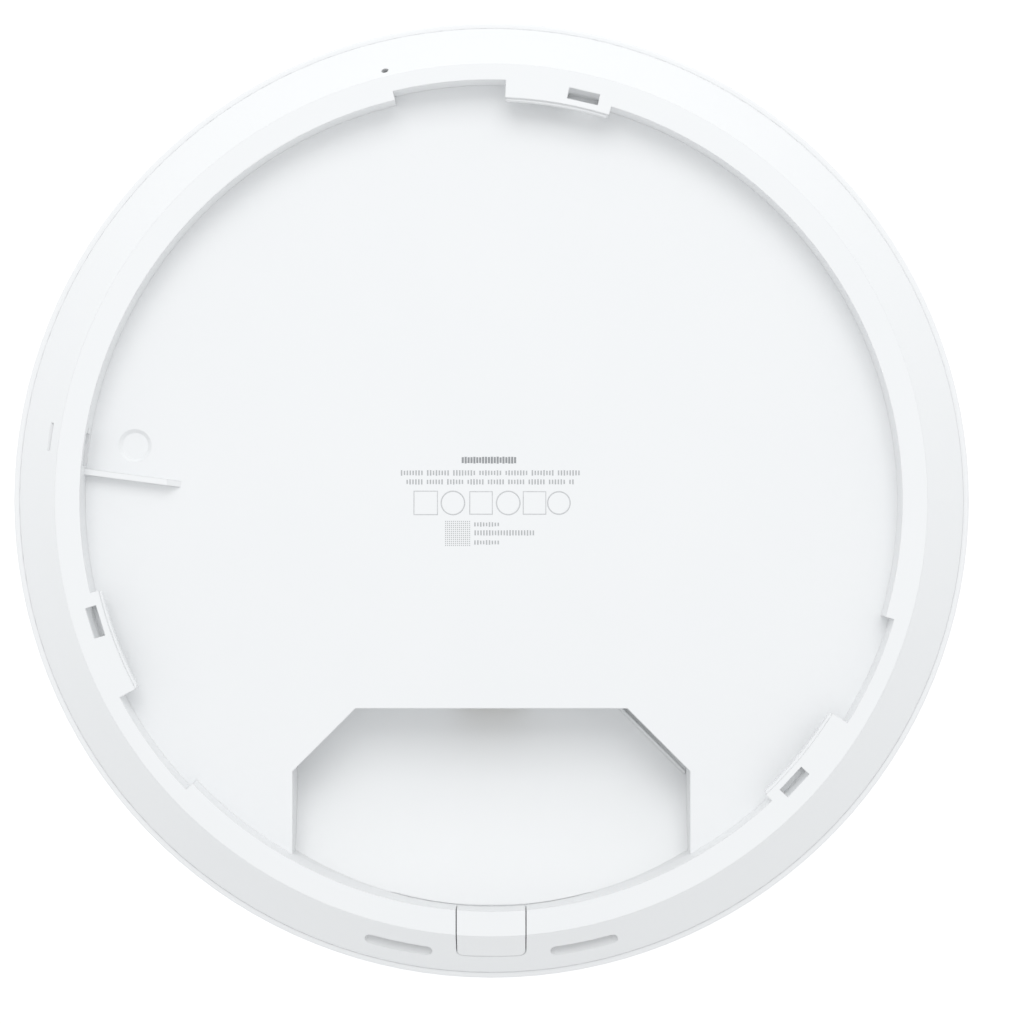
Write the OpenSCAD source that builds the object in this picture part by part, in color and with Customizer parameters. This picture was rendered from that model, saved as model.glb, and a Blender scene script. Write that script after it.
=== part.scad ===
// Ceiling access point: a round wireless access point that hangs from a bracket on a ceiling.
// +Z points up to the ceiling. The origin is the centre of the flat rim that meets the ceiling.
// -Y is the side where the network cable leaves, +Y the side with the reset hole.

/* [Body] */
// Largest diameter, at the edge of the front cover
body_d = 206; // [205:0.5:208]
// Height from the ceiling rim to the lowest point of the front
body_h = 46; // [46:0.5:50]
// Wall of the back shell
shell_wall = 2; // [1.8:0.1:2.2]
// Wall of the front cover
cover_wall = 2.2; // [1.8:0.1:2.4]
// Radius of the front cover's rounded edge
edge_r = 18; // [16:0.5:18.5]
// Drop of the front cover's dome from its centre to its rounded edge
dome_rise = 4; // [3:0.25:4]

/* [Ceiling side] */
// Outer diameter of the flat rim
rim_d = 183.8; // [183:0.1:184.6]
// Diameter of the round recess that takes the bracket
recess_d = 173.2; // [172.8:0.1:173.6]
// Depth of the recess
recess_depth = 6.5; // [6.3:0.1:6.7]
// Height of the sloping flank
flank_drop = 11.5; // [11:0.1:11.6]
// Diameter at the foot of the flank
flank_d = 203.2; // [203:0.1:203.4]

/* [Bracket socket] */
// Angle at which the first ledge starts, counted from +X
ledge_start = 73; // [70:1:76]
// Angle that one ledge covers
ledge_span = 15; // [14:0.5:16]
// Angle of the entry notch beside it
notch_span = 15.5; // [15:0.5:16]
// Inner diameter across the ledges
ledge_d = 168.4; // [168:0.1:169]
// Diameter of the wall inside the notches
notch_d = 177; // [176.6:0.1:177.2]
// Thickness of a ledge
ledge_t = 1.8; // [1.6:0.1:2]

/* [Cable bay] */
// Width of the bay between its side walls
bay_w = 84.8; // [84:0.2:85]
// Distance from the centre to the wall that holds the socket
bay_top = 44.4; // [44.2:0.1:44.6]
// Cut of the two corners beside the socket
bay_chamfer = 13.4; // [13:0.1:13.8]
// Greatest depth of the scoop below the rim
bay_depth = 19.5; // [19:0.1:19.6]
// Width of the removable cable-exit cover
exit_w = 14.5; // [14:0.1:15]
// Height of the cable-exit cover
exit_h = 6.3; // [6.1:0.1:6.3]
// Gap around the cable-exit cover
exit_gap = 0.2; // [0.15:0.05:0.3]

/* [Openings] */
// Length of one vent slot
vent_len = 14.6; // [12:0.2:15]
// Height of one vent slot
vent_h = 2.7; // [2.2:0.1:2.8]
// Angle from -Y to the middle of each vent slot
vent_angle = 11.8; // [11.7:0.1:12.4]
// Diameter of the reset pinhole
reset_d = 1.5; // [1.4:0.1:1.7]

/* [Electronics] */
// Diameter of the main circuit board
board_d = 178; // [176:1:180]
// Width of the square cooling fan
fan_w = 40; // [40:0.5:40.5]
// Number of fan blades
fan_blades = 7; // [5:1:9]
// Pitch of the heatsink fins
fin_pitch = 4; // [4:0.5:6]

/* [Hidden] */
$fn = 96;
DOME_FN = 720;
eps = 0.01;

body_r = body_d / 2;
rim_r = rim_d / 2;
recess_r = recess_d / 2;
flank_r = flank_d / 2;
ledge_r = ledge_d / 2;
notch_r = notch_d / 2;
board_r = board_d / 2;

// Back shell
floor_t = 2;
floor_z = -recess_depth;
under_z = floor_z - floor_t;
ring_t = 1.8;
ring_r = recess_r + ring_t;
socket_ring_r = notch_r + ring_t;
flank_slope = (flank_r - rim_r) / flank_drop;
flank_tilt = 90 - atan(flank_slope);
flank_skin = shell_wall / sin(flank_tilt);
seat_z = -13.5;
spigot_r = flank_r - 1.7;
spigot_in_r = spigot_r - 1.7;
spigot_z = -17;
pocket_z = -2.2;
fill_lap = 0.3;
exit_angle = 270;
vent_z = -6.05;

// Bayonet and release details
ledge_step = 0.6;
ledge_step_drop = 0.5;
ledge_corner = 0.8;
tool_slot = [2.3, 6.6];
tool_slot_r = 87.2;
tool_slot_angle = ledge_start + 4.1;
tool_slot_z = -8.1;
release_angle = 171.8;
release_slot = [12, 5.9, 0.8];
release_z = -2.9;
release_mouth = [3, 6.8, 4];
release_mouth_angle = 172.9;
rib_from = [66.33, 177.04];
rib_to = [recess_r, 175.98];
rib_w = 1.3;
rib_h = 2.5;
rib_lead = 2.6;
dimple_at = [76.9, 171.3];
dimple_r = 3.5;
dimple_floor_r = 2.8;
dimple_depth = 0.65;
reset_angle = 103.9;
reset_tilt = 25;
reset_mouth_r = 93.5;
reset_mouth_z = -(reset_mouth_r - rim_r) / flank_slope;

// Snap fit between the shells
snap_count = 6;
snap_w = 9;
snap_play = 0.5;
snap_z = -15.7;
snap_h = 1.4;

// Front cover, its dome and the centre of its rounded edge
dome_r = (pow(body_r - edge_r, 2) + dome_rise * dome_rise) / (2 * dome_rise);
dome_z = dome_r - body_h;
edge_c = body_r - edge_r;
edge_z = dome_z - sqrt(pow(dome_r - edge_r, 2) - edge_c * edge_c);
cover_top_z = -12;
lip_in_r = flank_r + 0.1;
lip_z = seat_z - 0.3;
led_ring_r = 21.2;
led_ring_w = 2.4;
led_groove_z = -body_h + 1.5;

// Circuit board and what stands on it
board_z = -22.5;
board_t = 1.6;
board_under = board_z - board_t;
boss_r = 3.5;
boss_spots = [[-70, 40], [70, 40], [-76, -22], [76, -22], [0, 78], [-14, -34], [14, -34]];
screw_r = 1;
pilot_r = 1.05;
bay_ear = [47.8, -60];
bay_ear_z = -11;
bay_ear_t = 1.5;

// Scoop of the cable bay: an arc that is level at the socket and rises to the exit
bay_wall = 1.6;
bay_top_z = under_z - 0.1;
scoop_start = -48;
scoop_end_r = recess_r - 0.4;
scoop_end_z = -6.9;
scoop_rise = bay_depth + scoop_end_z;
scoop_run = scoop_end_r + scoop_start;
scoop_r = (scoop_run * scoop_run + scoop_rise * scoop_rise) / (2 * scoop_rise);
bay_play = 0.05;
corner_top_z = -12;
corner_slope = 0.3;
corner_end = 0.6;
corner_ridge = [1, 0.7];
corner_ridge_z = -18.2;

// Network socket, its mouth facing -Y inside the bay
jack_w = 16;
jack_len = 21.3;
jack_h = 13.5;
jack_front = -bay_top + 0.2;
jack_skin = 0.3;
port_w = 11.8;
port_h = 7.2;
port_z = board_z + 3.4;
port_depth = 14;
latch_w = 6.2;
latch_h = 2.2;

// Heatsink and what it cools
sink_base_z = -19.5;
sink_base_t = 2;
sink_top_z = sink_base_z + sink_base_t;
sink_fin_top = -9.8;
sink_x = 58;
sink_y = [-8, 58];
fin_t = 1.2;
cpu_at = [-24, 26];
cpu_w = 21;
cpu_t = 1.8;
shield_t = 2.2;
shield_size = [30, 20];
shield_spots = [[36, 46], [36, 5], [-34, 48]];
sink_screw_spots = [[-54, -4], [54, -4], [-54, 54], [54, 54]];

// Fan
fan_at = [30, 25];
fan_z = sink_top_z + 0.2;
fan_t = 7.5;
fan_bore_r = 18.8;
fan_hole = 16;
fan_hub_r = 8.8;
fan_floor = 1;
fan_lead_points = [
    [50.3, 14, -13.5], [53, 14, -13], [57, 14, -13],
    [61, 12, -13], [63, 10, -13], [64, 8, -14]
];

// Antennas of each band: patch size, height above the plate, angles
plate_z = -28;
plate_t = 1;
plate_r = 84;
plate_front = plate_z - plate_t;
standoff_spots = [[50, 50], [-50, 50], [50, -50], [-50, -50]];
antenna_r = 60;
low_band = [[18, 30], 9.5, [60, 240]];
mid_band = [[14, 20], 6.5, [0, 180]];
high_band = [[11, 16], 5, [120, 300]];
sheet_t = 0.5;
coax_r = 0.65;

// Status light
led_board_z = -40.5;
led_board_t = 0.8;
led_post_angles = [30, 150, 270];
led_post_r = 16.5;

white = [0.95, 0.955, 0.96];
trim_white = [0.91, 0.915, 0.92];
dark = [0.13, 0.13, 0.14];
metal = [0.76, 0.77, 0.79];
brass = [0.80, 0.66, 0.34];
board_green = [0.06, 0.22, 0.16];

// ---- helpers -------------------------------------------------------------------------------

// Radius of the flank at a height, and of its inner side
function flank_at(z) = rim_r - z * flank_slope;
function flank_inside(z) = flank_at(z) - flank_skin;
function polar(r, a) = [r * cos(a), r * sin(a)];

// A box between two corners
module span(from, to) translate(from) cube(to - from);

// A profile in (radius, height) turned from one angle to another
module arc_of(a0, a1) rotate([0, 0, a0]) rotate_extrude(angle = a1 - a0) children();

// A flat ring
module ring(r_out, r_in, z0, z1) {
    difference() {
        translate([0, 0, z0]) cylinder(r = r_out, h = z1 - z0);
        translate([0, 0, z0 - 1]) cylinder(r = r_in, h = z1 - z0 + 2);
    }
}

module place(spots) for (p = spots) translate([p[0], p[1], 0]) children();

module rounded_rect(w, h, r) {
    square([w - 2 * r, h], center = true);
    square([w, h - 2 * r], center = true);
    for (x = [-1, 1], y = [-1, 1])
        translate([x * (w / 2 - r), y * (h / 2 - r)]) circle(r);
}

// A chip or block standing on the ceiling side of the board
module on_board(size, r = 0.3) {
    translate([0, 0, board_z]) linear_extrude(size[2]) rounded_rect(size[0], size[1], r);
}

// A screw with its head below, shank up, and a cross in the head
module screw_up(z_head, head_r, head_h, shank_r, shank_len) {
    difference() {
        translate([0, 0, z_head - head_h]) cylinder(r = head_r, h = head_h, $fn = 48);
        for (a = [0, 90])
            rotate([0, 0, a])
                translate([0, 0, z_head - head_h]) cube([head_r * 1.2, 0.5, head_h * 0.9], center = true);
    }
    translate([0, 0, z_head - eps]) cylinder(r = shank_r, h = shank_len, $fn = 48);
}

module screw_down(z_head, head_r, head_h, shank_r, shank_len) {
    translate([0, 0, 2 * z_head]) mirror([0, 0, 1]) screw_up(z_head, head_r, head_h, shank_r, shank_len);
}

// Outline of a strip of even thickness along a line of 2D points
function seg_dir(p, i) = (p[i + 1] - p[i]) / norm(p[i + 1] - p[i]);
function strip_side(p, i, d) =
    let (a = seg_dir(p, max(i - 1, 0)), b = seg_dir(p, min(i, len(p) - 2)), m = (a + b) / norm(a + b))
    p[i] + d * [-m[1], m[0]] / (m * b);
module strip(p, t) {
    n = len(p);
    polygon(concat(
        [for (i = [0:n - 1]) strip_side(p, i, t / 2)],
        [for (i = [n - 1:-1:0]) strip_side(p, i, -t / 2)]
    ));
}

// A round lead swept along 3D points
function lead_dir(p, i) =
    let (d = p[min(i + 1, len(p) - 1)] - p[max(i - 1, 0)]) d / norm(d);
function lead_side(d) = let (s = cross(d, abs(d[1]) < 0.9 ? [0, 1, 0] : [1, 0, 0])) s / norm(s);
module lead(p, r, sides = 8) {
    n = len(p);
    points = [for (i = [0:n - 1]) let (d = lead_dir(p, i), u = lead_side(d), v = cross(d, u))
        for (k = [0:sides - 1]) let (a = 360 * k / sides) p[i] + r * (cos(a) * u + sin(a) * v)];
    walls = [for (i = [0:n - 2], k = [0:sides - 1]) let (j = (k + 1) % sides)
        [i * sides + k, (i + 1) * sides + k, (i + 1) * sides + j, i * sides + j]];
    first = [for (k = [0:sides - 1]) k];
    last = [for (k = [sides - 1:-1:0]) (n - 1) * sides + k];
    polyhedron(points, concat([first], walls, [last]));
}

// ---- back shell ----------------------------------------------------------------------------

module shell_section() {
    polygon([
        [0, under_z], [0, 0], [rim_r, 0],
        [flank_r, -flank_drop], [flank_r, seat_z], [spigot_r, seat_z], [spigot_r, spigot_z],
        [spigot_in_r, spigot_z], [spigot_in_r, (rim_r - flank_skin - spigot_in_r) / flank_slope],
        [flank_inside(pocket_z), pocket_z], [ring_r, pocket_z], [ring_r, under_z]
    ]);
}

// The hollow between recess wall and flank, to be filled where something passes through
module pocket_fill(a0, a1) {
    arc_of(a0, a1) polygon([
        [ring_r - fill_lap, pocket_z + fill_lap], [flank_inside(pocket_z) + fill_lap, pocket_z + fill_lap],
        [flank_inside(under_z) + fill_lap, under_z], [ring_r - fill_lap, under_z]
    ]);
}

// A pie slice between two angles, out to a radius
module slice(a0, a1, r) {
    far = 2 * r;
    intersection() {
        circle(r);
        polygon([[0, 0], far * polar(1, a0), far * polar(1, (a0 + a1) / 2), far * polar(1, a1)]);
    }
}

// Plan of one hanging ledge, its inner edge at a radius and its two inner corners rounded
module ledge_plan(r_in) {
    corner_r = r_in + ledge_corner;
    trim = asin(ledge_corner / corner_r);
    a0 = ledge_start;
    a1 = ledge_start + ledge_span;
    steps = 6;
    polygon(concat(
        [polar(notch_r + 1, a0), polar(notch_r + 1, a1)],
        [for (i = [0:steps])
            polar(corner_r, a1 - trim) + polar(ledge_corner, a1 + 90 + i * (90 - trim) / steps)],
        [for (i = [1:2 * steps - 1]) polar(r_in, a1 - trim - i * (ledge_span - 2 * trim) / (2 * steps))],
        [for (i = [0:steps])
            polar(corner_r, a0 + trim) + polar(ledge_corner, a0 + trim + 180 + i * (90 - trim) / steps)]
    ));
}

// Plan of the recess between the ledges: round, with three entry notches
module recess_plan() {
    a = ledge_start + ledge_span;
    difference() {
        union() {
            circle(recess_r);
            for (k = [0:2]) rotate(120 * k) slice(a - 1, a + notch_span, notch_r);
        }
        for (k = [0:2]) rotate(120 * k) ledge_plan(ledge_r);
    }
}

// The recess cut, widened under the ledges so that a lug can turn in behind them
module recess_cut() {
    lug_start = ledge_start + 0.5;
    lug_end = ledge_start + ledge_span + notch_span;
    translate([0, 0, floor_z]) {
        linear_extrude(recess_depth + 1) recess_plan();
        linear_extrude(recess_depth - ledge_t) {
            circle(recess_r);
            for (k = [0:2]) rotate(120 * k) slice(lug_start, lug_end, notch_r);
        }
    }
    translate([0, 0, -ledge_step_drop]) cylinder(r = ledge_r + ledge_step, h = ledge_step_drop + 1);
}

// Outline of the cable exit as seen from -Y: open at the rim, with two rounded lower corners
module exit_outline(grow) {
    w = exit_w / 2 + grow;
    low = -exit_h - grow;
    r = 1.4 + grow;
    translate([-w, low + r]) square([2 * w, exit_h + 2 - r]);
    translate([-w + r, low]) square([2 * (w - r), r + 1]);
    for (x = [-w + r, w - r]) translate([x, low + r]) circle(r, $fn = 32);
}

module exit_prism(grow) {
    translate([0, -recess_r + 3, 0]) rotate([90, 0, 0]) linear_extrude(20) exit_outline(grow);
}

// Edge line of the bay, widened by grow
module bay_outline(grow = 0, limit = recess_r) {
    x = bay_w / 2 + grow;
    y = bay_top - grow;
    c = bay_chamfer + 0.6 * grow;
    intersection() {
        polygon([[-x + c, -y], [x - c, -y], [x, -y - c], [x, -100], [-x, -100], [-x, -y - c]]);
        circle(limit);
    }
}

// Moves what lies along +X at the origin onto the bay's right-hand corner cut, +Y outward
module at_corner_cut() {
    translate([(bay_w - bay_chamfer) / 2, -bay_top - bay_chamfer / 2, 0]) rotate([0, 0, -45]) children();
}

// A low strip along the foot of the corner cut
module corner_strip() {
    l = bay_chamfer * sqrt(2) + 2;
    at_corner_cut() translate([-l / 2, -corner_ridge[0] - corner_ridge[1], -30])
        cube([l, corner_ridge[1], 30 + corner_ridge_z]);
}

// The gap above the tub's wall at the corner cut, whose top edge leans outward
module corner_gap() {
    l = bay_chamfer * sqrt(2) - 2 * corner_end;
    drop = 15;
    at_corner_cut() translate([-l / 2, 0, 0]) rotate([90, 0, 90]) linear_extrude(l) polygon([
        [-1, 0], [-1, corner_top_z], [0, corner_top_z],
        [drop * corner_slope, corner_top_z - drop], [6, corner_top_z - drop], [6, 0]
    ]);
}

// A slot with round ends, cut level through the flank
module vent() {
    translate([flank_at(vent_z) - 4, 0, vent_z]) rotate([0, 90, 0])
        linear_extrude(8) {
            square([vent_h, vent_len - vent_h], center = true);
            for (s = [-1, 1]) translate([0, s * (vent_len - vent_h) / 2]) circle(vent_h / 2, $fn = 32);
        }
}

module rib() {
    a = polar(rib_from[0], rib_from[1]);
    b = polar(rib_to[0], rib_to[1]);
    length = norm(b - a) + 0.6;
    translate([a[0], a[1], floor_z - 0.5]) rotate([0, 0, atan2(b[1] - a[1], b[0] - a[0])])
        rotate([90, 0, 0]) linear_extrude(rib_w, center = true)
            polygon([[0, 0], [0, 0.5], [rib_lead, rib_h + 0.5], [length, rib_h + 0.5], [length, 0]]);
}

module board_boss() {
    difference() {
        translate([0, 0, board_z]) cylinder(r = boss_r, h = under_z - board_z + eps, $fn = 48);
        translate([0, 0, board_z - 1]) cylinder(r = pilot_r, h = 11, $fn = 48);
    }
}

module back_shell() {
    color(white) {
        difference() {
            union() {
                rotate_extrude() shell_section();
                for (k = [0:2])
                    arc_of(ledge_start - 2 + 120 * k, ledge_start + 33 + 120 * k)
                        translate([ring_r - fill_lap, under_z])
                            square([socket_ring_r - ring_r + fill_lap, pocket_z + fill_lap - under_z]);
                pocket_fill(166, 179);
                pocket_fill(exit_angle - 6.2, exit_angle + 6.2);
            }
            difference() {
                recess_cut();
                rib();
            }
            for (k = [0:2])
                rotate([0, 0, tool_slot_angle + 120 * k])
                    translate([tool_slot_r - tool_slot[0] / 2, -tool_slot[1] / 2, tool_slot_z])
                        cube([tool_slot[0], tool_slot[1], 1 - tool_slot_z]);
            rotate([0, 0, release_angle]) translate([recess_r + 4, 0, release_z])
                cube(release_slot, center = true);
            rotate([0, 0, release_mouth_angle]) translate([recess_r, 0, release_z - 0.6])
                cube(release_mouth, center = true);
            rotate([0, 0, dimple_at[1]]) translate([dimple_at[0], 0, floor_z - dimple_depth])
                cylinder(r1 = dimple_floor_r, r2 = 2 * dimple_r - dimple_floor_r, h = 2 * dimple_depth);
            for (s = [-1, 1]) rotate([0, 0, exit_angle + s * vent_angle]) vent();
            rotate([0, 0, reset_angle]) translate([reset_mouth_r, 0, reset_mouth_z])
                rotate([0, reset_tilt, 0])
                translate([0, 0, -12]) cylinder(r = reset_d / 2, h = 16, $fn = 48);
            exit_prism(exit_gap);
            translate([0, 0, under_z - 1]) linear_extrude(floor_t + 1 + eps) bay_outline();
            for (k = [0:snap_count - 1])
                rotate([0, 0, 30 + k * 360 / snap_count]) translate([spigot_r, 0, snap_z])
                    cube([6, snap_w, snap_h + snap_play], center = true);
        }
        place(boss_spots) board_boss();
        for (s = [-1, 1])
            translate([s * bay_ear[0], bay_ear[1], bay_ear_z]) difference() {
                cylinder(r = 2.6, h = under_z - bay_ear_z + eps, $fn = 48);
                translate([0, 0, -1]) cylinder(r = 0.85, h = 3, $fn = 32);
            }
    }
}

// ---- cable bay and its exit cover ----------------------------------------------------------

module scoop_drum(r) {
    translate([-60, scoop_start, scoop_r - bay_depth]) rotate([0, 90, 0])
        cylinder(r = r, h = 120, $fn = 360);
}

module cable_bay() {
    color(trim_white) difference() {
        union() {
            intersection() {
                union() {
                    translate([0, 0, -30]) linear_extrude(30 + bay_top_z)
                        bay_outline(bay_wall, recess_r + 1.4);
                    translate([0, 0, -30]) linear_extrude(30 + scoop_end_z)
                        bay_outline(-bay_play, recess_r - bay_play);
                }
                scoop_drum(scoop_r + 1.8);
            }
            for (s = [-1, 1])
                translate([s * bay_ear[0], bay_ear[1], bay_ear_z - bay_ear_t]) {
                    cylinder(r = 3, h = bay_ear_t - eps, $fn = 48);
                    translate([s > 0 ? -4 : 0, -3, 0]) cube([4, 6, bay_ear_t - eps]);
                }
        }
        intersection() {
            difference() {
                translate([0, 0, -30]) linear_extrude(40) bay_outline(0, recess_r);
                corner_strip();
            }
            scoop_drum(scoop_r);
        }
        corner_gap();
        span([-jack_w / 2 - 0.2, -bay_top - 0.1, -30], [jack_w / 2 + 0.2, -bay_top + 4, 0]);
        for (s = [-1, 1])
            translate([s * bay_ear[0], bay_ear[1], bay_ear_z - 5]) cylinder(r = 1, h = 10, $fn = 48);
    }
}

module cable_cover() {
    color(white) difference() {
        intersection() {
            arc_of(exit_angle - 8, exit_angle + 8) polygon([
                [recess_r, 0], [rim_r, 0], [flank_at(-exit_h), -exit_h], [recess_r, -exit_h]
            ]);
            exit_prism(0);
        }
        intersection() {
            arc_of(exit_angle - 8, exit_angle + 8) polygon([
                [recess_r + 1.6, -1.6], [flank_inside(-1.6), -1.6],
                [flank_inside(-exit_h - 1), -exit_h - 1], [recess_r + 1.6, -exit_h - 1]
            ]);
            span([-exit_w / 2 + 1.6, -100, -10], [exit_w / 2 - 1.6, 0, 1]);
        }
    }
}

// ---- front cover and status light ----------------------------------------------------------

// Half section of the dome, rounded edge and straight side, made smaller by a wall thickness
module cover_section(inset, top) {
    r = body_r - inset;
    intersection() {
        translate([0, dome_z]) circle(dome_r - inset, $fn = DOME_FN);
        translate([0, -body_h - 1]) square([edge_c * dome_r / (dome_r - edge_r), body_h + 1 + edge_z]);
    }
    intersection() {
        translate([edge_c, edge_z]) circle(edge_r - inset, $fn = 180);
        translate([edge_c - 1, edge_z - edge_r - 1]) square([edge_r + 2, edge_r + 1]);
    }
    translate([0, edge_z]) square([r, top - edge_z]);
    translate([0, edge_z - 1]) square([edge_c - 0.5, 2]);
}

module front_cover() {
    color(white) {
        rotate_extrude() difference() {
            union() {
                cover_section(0, cover_top_z - 0.5);
                translate([body_r - 0.5, cover_top_z - 0.5]) circle(0.5, $fn = 32);
                translate([0, cover_top_z - 0.5 - eps]) square([body_r - 0.5, 0.5 + eps]);
            }
            cover_section(cover_wall, lip_z);
            translate([0, lip_z - eps]) square([lip_in_r, 5]);
            translate([led_ring_r - led_ring_w / 2, -body_h - 1])
                square([led_ring_w, led_groove_z + body_h + 1]);
        }
        for (k = [0:snap_count - 1])
            rotate([0, 0, 30 + k * 360 / snap_count]) arc_of(-2, 2) polygon([
                [body_r - cover_wall + 0.4, snap_z + snap_h / 2], [spigot_r - 0.5, snap_z + 0.2],
                [spigot_r - 0.5, snap_z - 0.2], [body_r - cover_wall + 0.4, snap_z - snap_h / 2]
            ]);
        ring(25.9, 24.6, -body_h + cover_wall - 0.1, -41.4);
    }
}

// Height of the dome's outer face at a radius
function dome_at(r) = dome_z - sqrt(dome_r * dome_r - r * r);

module led_ring() {
    a = led_ring_r - led_ring_w / 2 + 0.05;
    b = led_ring_r + led_ring_w / 2 - 0.05;
    color("white") rotate_extrude()
        polygon([[a, dome_at(a)], [b, dome_at(b)], [b, led_groove_z - 0.05], [a, led_groove_z - 0.05]]);
}

module light_guide() color([0.9, 0.95, 1]) ring(24.3, 18.2, -43.3, -41.3);

module led_board() {
    color(board_green) difference() {
        ring(25, 13.5, led_board_z, led_board_z + led_board_t);
        for (a = led_post_angles) rotate([0, 0, a]) translate([led_post_r, 0, led_board_z - 1])
            cylinder(r = 1.05, h = 3, $fn = 32);
    }
}

module status_leds() {
    color("lightyellow") for (k = [0:7])
        rotate([0, 0, 22.5 + 45 * k]) translate([led_ring_r - 0.7, -1.2, led_board_z - 0.7])
            cube([1.4, 2.4, 0.7 - eps]);
}

module led_posts() {
    color(dark) for (a = led_post_angles) rotate([0, 0, a]) translate([led_post_r, 0, 0]) {
        translate([0, 0, led_board_z + led_board_t])
            cylinder(r = 2, h = plate_front - led_board_z - led_board_t - eps, $fn = 48);
        translate([0, 0, led_board_z - 0.6]) cylinder(r = 1, h = 2, $fn = 32);
    }
}

module led_cable() {
    color("ivory") translate([-2.5, 0, 0]) rotate([90, 0, 90]) linear_extrude(5)
        strip([[0, -25.8], [0, -33], [3, -37], [9, -39.4], [14, -39.55], [18, -39.55]], 0.2);
}

module led_header() {
    color("ivory") span([-4, -1.5, board_under - 1.6], [4, 1.5, board_under - eps]);
}

// ---- main board and its components ---------------------------------------------------------

module main_board() {
    color(board_green) difference() {
        translate([0, 0, board_under]) cylinder(r = board_r, h = board_t, $fn = 180);
        place(boss_spots) translate([0, 0, board_under - 1]) cylinder(r = 1.3, h = 5, $fn = 32);
        place(sink_screw_spots) translate([0, 0, board_under - 1]) cylinder(r = 1.3, h = 5, $fn = 32);
        for (a = [20, 200]) rotate([0, 0, a]) translate([board_r, 0, board_under - 1])
            cylinder(r = 3, h = 5, $fn = 48);
    }
}

module ethernet_jack_shell() {
    color(metal) difference() {
        span([-jack_w / 2, jack_front, board_z + eps], [jack_w / 2, jack_front + jack_len, board_z + jack_h]);
        span([-jack_w / 2 + jack_skin, jack_front + jack_skin, board_z - 1],
            [jack_w / 2 - jack_skin, jack_front + jack_len - jack_skin, board_z + jack_h - jack_skin]);
        span([-jack_w / 2 + 1.2, jack_front - 1, board_z + 1.6],
            [jack_w / 2 - 1.2, jack_front + 1, board_z + jack_h - 1]);
    }
}

module ethernet_jack_insert() {
    inset = jack_skin + 0.1;
    color(dark) difference() {
        span([-jack_w / 2 + inset, jack_front + inset, board_z + 0.1],
            [jack_w / 2 - inset, jack_front + jack_len - inset, board_z + jack_h - inset]);
        span([-port_w / 2, jack_front - 1, port_z], [port_w / 2, jack_front + port_depth, port_z + port_h]);
        span([-latch_w / 2, jack_front - 1, port_z - latch_h],
            [latch_w / 2, jack_front + port_depth - 4, port_z + 0.1]);
        for (i = [-3.5:3.5])
            span([i * 1.02 - 0.3, jack_front + 2, port_z + port_h - 0.1],
                [i * 1.02 + 0.3, jack_front + port_depth, port_z + port_h + 0.8]);
    }
}

module ethernet_jack_contacts() {
    color(brass) for (i = [-3.5:3.5])
        translate([i * 1.02 - 0.2, 0, 0]) rotate([90, 0, 90]) linear_extrude(0.4)
            strip([
                [jack_front + port_depth - 0.3, port_z + port_h + 0.3], [jack_front + 4, port_z + port_h + 0.3],
                [jack_front + 3.4, port_z + port_h - 0.4], [jack_front + 9, port_z + port_h - 2.4]
            ], 0.3);
}

module lan_magnetics() color(dark) translate([0, -15.5, 0]) on_board([15, 10, 5.5]);

module poe_transformer_core() {
    color([0.2, 0.2, 0.21]) translate([58, -26, board_z]) difference() {
        translate([-10, -8, 1]) cube([20, 16, 9.6]);
        for (s = [-1, 1]) translate([s * 5.6 - 2.6, -9, 3]) cube([5.2, 18, 5.6]);
    }
}

module poe_transformer_winding() {
    color([0.85, 0.62, 0.15]) translate([58, -26, board_z]) {
        for (s = [-1, 1]) translate([s * 5.6 - 2.4, -10, 3.2]) cube([4.8, 20, 5.2]);
        for (y = [-10.5, 8.5]) translate([-8, y, eps]) cube([16, 2, 8.4]);
    }
}

module bridge_rectifiers() color(dark) place([[-52, -28], [-52, -18]]) on_board([8, 6.5, 2.6]);

module power_inductors() color([0.25, 0.25, 0.26]) place([[-27, -30], [-38, -30], [-32, -18]])
    on_board([7, 7, 4], 1.2);

module bulk_capacitors() {
    color(metal) place([[26, -30], [36, -30], [26, -19.5], [36, -19.5]]) {
        translate([0, 0, board_z + eps]) cylinder(r = 4.2, h = 1.2, $fn = 6);
        translate([0, 0, board_z + 1.2]) cylinder(r = 4, h = 9, $fn = 64);
    }
}

module main_processor() color(metal) translate([cpu_at[0], cpu_at[1], 0])
    on_board([cpu_w, cpu_w, cpu_t], 0.6);

module memory_chips() color(dark) place([[-44, 30], [-44, 15]]) on_board([10, 13, 1.2]);

module radio_chips() color(dark) place(shield_spots) on_board([12, 12, 1.1]);

module radio_shields() {
    color(metal) place(shield_spots) difference() {
        on_board([shield_size[0], shield_size[1], shield_t]);
        translate([0, 0, board_z - 1]) linear_extrude(shield_t + 0.7)
            rounded_rect(shield_size[0] - 0.6, shield_size[1] - 0.6, 0.3);
    }
}

module thermal_pads() {
    color([0.62, 0.72, 0.85]) {
        translate([cpu_at[0] - 9, cpu_at[1] - 9, board_z + cpu_t + eps])
            cube([18, 18, sink_base_z - board_z - cpu_t - 2 * eps]);
        place(shield_spots) translate([-10, -8, board_z + shield_t + eps])
            cube([20, 16, sink_base_z - board_z - shield_t - 2 * eps]);
    }
}

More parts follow.
